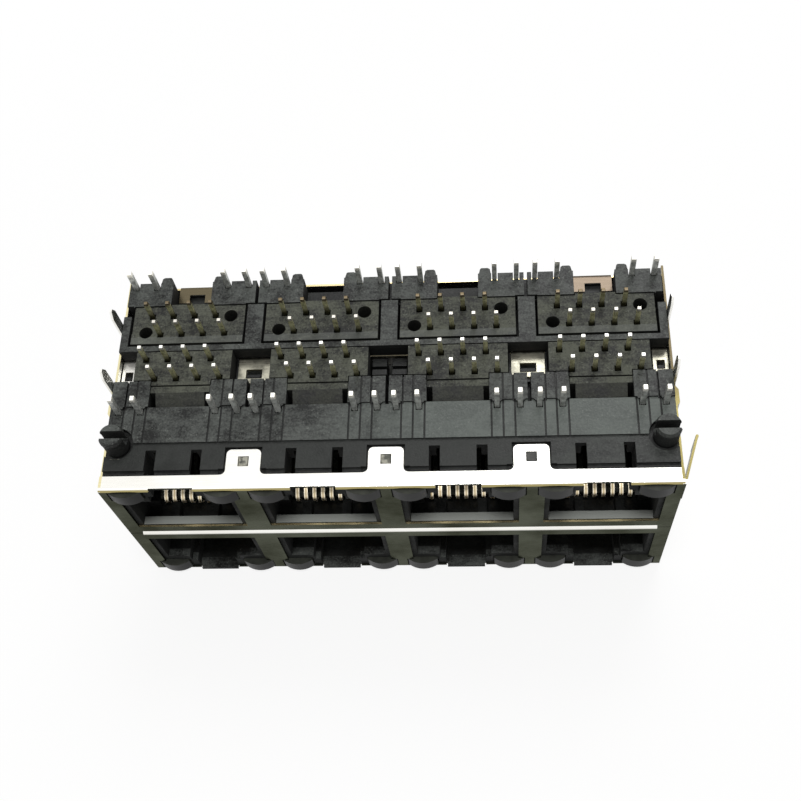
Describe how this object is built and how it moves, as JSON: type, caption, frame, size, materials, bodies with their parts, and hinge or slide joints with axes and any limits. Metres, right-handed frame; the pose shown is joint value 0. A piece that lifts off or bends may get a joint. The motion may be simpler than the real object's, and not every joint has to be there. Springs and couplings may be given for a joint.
{
  "type": "stacked modular jack block",
  "caption": "Shielded board-mount jack block with stacked ports, lamp corners, board pins and split locating pegs.",
  "frame": {"origin": "centre of the cover's outer face, which the block rests on with its board side up", "axes": "+X along the row of ports, +Y from the ports to the back, +Z from the cover to the circuit board"},
  "size_m": [0.0662, 0.0284, 0.03],
  "materials": {
    "shield": "bright nickel plate over brass",
    "inner_shield": "nickel plate",
    "housing": "satin moulded, charcoal black",
    "insert": "satin moulded, charcoal black",
    "contacts": "gold over nickel, tinned tips",
    "lamp": "smoky moulded lamp body",
    "leads": "tinned"
  },
  "bodies": {
    "root": {"housing": "housing", "front_shield": "shield", "cover_shield": "shield", "inner_shield": "inner_shield", "board_insert_1": "insert", "board_insert_2": "insert", "board_insert_3": "insert", "board_insert_4": "insert", "cover_insert_1": "insert", "cover_insert_2": "insert", "cover_insert_3": "insert", "cover_insert_4": "insert", "board_contacts_1": "contacts", "board_contacts_2": "contacts", "board_contacts_3": "contacts", "board_contacts_4": "contacts", "cover_contacts_1": "contacts", "cover_contacts_2": "contacts", "cover_contacts_3": "contacts", "cover_contacts_4": "contacts", "board_lamp_1_left": "lamp", "board_lamp_1_right": "lamp", "board_lamp_2_left": "lamp", "board_lamp_2_right": "lamp", "board_lamp_3_left": "lamp", "board_lamp_3_right": "lamp", "board_lamp_4_left": "lamp", "board_lamp_4_right": "lamp", "cover_lamp_1_left": "lamp", "cover_lamp_1_right": "lamp", "cover_lamp_2_left": "lamp", "cover_lamp_2_right": "lamp", "cover_lamp_3_left": "lamp", "cover_lamp_3_right": "lamp", "cover_lamp_4_left": "lamp", "cover_lamp_4_right": "lamp", "board_leads_1_left": "leads", "board_leads_1_right": "leads", "board_leads_2_left": "leads", "board_leads_2_right": "leads", "board_leads_3_left": "leads", "board_leads_3_right": "leads", "board_leads_4_left": "leads", "board_leads_4_right": "leads", "cover_leads_1_left": "leads", "cover_leads_1_right": "leads", "cover_leads_2_left": "leads", "cover_leads_2_right": "leads", "cover_leads_3_left": "leads", "cover_leads_3_right": "leads", "cover_leads_4_left": "leads", "cover_leads_4_right": "leads"}
  },
  "joints": []
}
